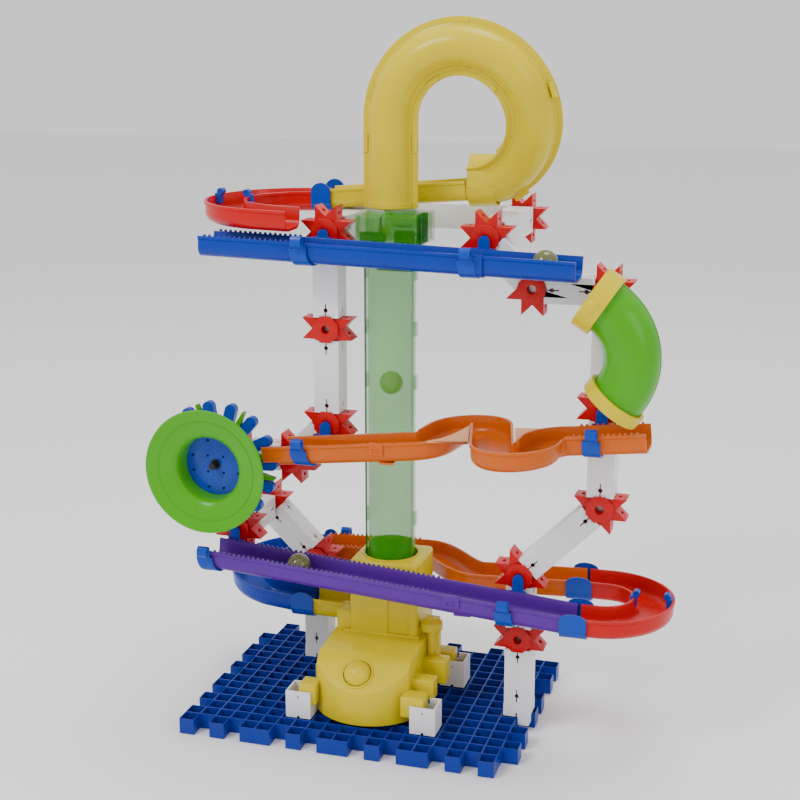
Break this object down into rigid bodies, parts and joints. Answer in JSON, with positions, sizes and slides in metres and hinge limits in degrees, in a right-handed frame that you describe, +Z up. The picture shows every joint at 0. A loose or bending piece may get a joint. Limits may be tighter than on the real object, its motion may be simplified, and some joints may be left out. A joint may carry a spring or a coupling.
{
  "type": "marble run",
  "caption": "Motorised marble run on a grid plate: a blower lifts marbles up a clear tube into a loop, and coloured tracks carry them back down past a turning wheel.",
  "frame": {"origin": "bottom centre of the bounding box, on the table under the plate", "axes": "+X right along the front edge, +Y away from the viewer, +Z up"},
  "size_m": [0.3938, 0.2206, 0.5385],
  "materials": {
    "plate_blue": "moulded",
    "frame_white": "moulded",
    "connector_red": "moulded",
    "blower_yellow": "moulded",
    "button_yellow": "moulded",
    "track_blue": "moulded",
    "track_red": "moulded",
    "track_orange": "moulded",
    "track_purple": "moulded",
    "tube_green": "moulded",
    "tube_clear_green": "translucent",
    "wheel_green": "moulded",
    "wheel_blue": "moulded",
    "motor_steel": "plated",
    "impeller_white": "moulded",
    "battery_dark": "moulded",
    "marble_green": "translucent"
  },
  "bodies": {
    "run": {"base_plate_left": "plate_blue", "base_plate_right": "plate_blue", "rear_frame": "frame_white", "wheel_mount": "connector_red", "post_left": "frame_white", "post_right": "frame_white", "exit_track": "blower_yellow", "upper_track": "track_blue", "lower_track": "track_purple", "middle_track": "track_orange", "rear_track": "track_orange", "upper_turn": "track_red", "right_turn": "track_red", "left_turn": "track_blue", "lift_tube": "tube_clear_green", "tube_collar": "tube_clear_green", "loop_front_shell": "blower_yellow", "loop_rear_shell": "blower_yellow", "side_tube": "tube_green", "side_collar_top": "blower_yellow", "side_collar_bottom": "blower_yellow", "blower_housing": "blower_yellow", "motor": "motor_steel", "battery_box": "battery_dark", "socket_front_left": "frame_white", "socket_front_right": "frame_white", "socket_rear_left": "frame_white", "socket_rear_right": "frame_white", "connector_left_low": "connector_red", "connector_left_mid": "connector_red", "connector_left_knee": "connector_red", "connector_left_upper": "connector_red", "connector_left_top": "connector_red", "connector_right_top": "connector_red", "connector_right_shoulder": "connector_red", "connector_right_corner": "connector_red", "connector_right_upper": "connector_red", "connector_right_mid": "connector_red", "connector_right_knee": "connector_red", "connector_right_low": "connector_red", "connector_rear_low": "connector_red", "connector_rear_mid": "connector_red", "tube_rear_diagonal": "frame_white", "tube_knee_left": "frame_white", "tube_left_lower": "frame_white", "tube_left_upper": "frame_white", "tube_right_top_diagonal": "frame_white", "tube_right_top": "frame_white", "tube_right_upper": "frame_white", "tube_right_middle": "frame_white", "tube_right_diagonal": "frame_white", "tube_right_lower": "frame_white", "tube_depth_link": "frame_white"},
    "wheel": {"wheel_dish": "wheel_green", "paddle_wheel": "wheel_blue"},
    "lift_marble": {"marble_lift": "marble_green"},
    "upper_marble": {"marble_upper": "marble_green"},
    "lower_marble": {"marble_lower": "marble_green"},
    "button": {"power_button": "button_yellow"},
    "rotor": {"impeller": "impeller_white"}
  },
  "joints": [
    {"name": "wheel_spin", "type": "hinge", "parent": "run", "child": "wheel", "pos_m": [-0.14885, -0.06345, 0.207], "axis": [0, 1, 0], "continuous": true},
    {"name": "lift_marble_rise", "type": "slide", "parent": "run", "child": "lift_marble", "axis": [0, 0, 1], "range_m": [-0.13, 0.11]},
    {"name": "upper_marble_roll", "type": "slide", "parent": "run", "child": "upper_marble", "axis": [-0.9997, 0, 0.0263], "range_m": [-0.01, 0.24]},
    {"name": "lower_marble_roll", "type": "slide", "parent": "run", "child": "lower_marble", "axis": [0.997, 0, -0.0775], "range_m": [-0.06, 0.205]},
    {"name": "button_press", "type": "slide", "parent": "run", "child": "button", "axis": [0, 0.6247, -0.7809], "range_m": [0, 0.003], "stiffness_N_per_m": 300},
    {"name": "impeller_spin", "type": "hinge", "parent": "run", "child": "rotor", "pos_m": [-0.02925, -0.00145, 0.088], "axis": [0, 0, 1], "continuous": true}
  ]
}
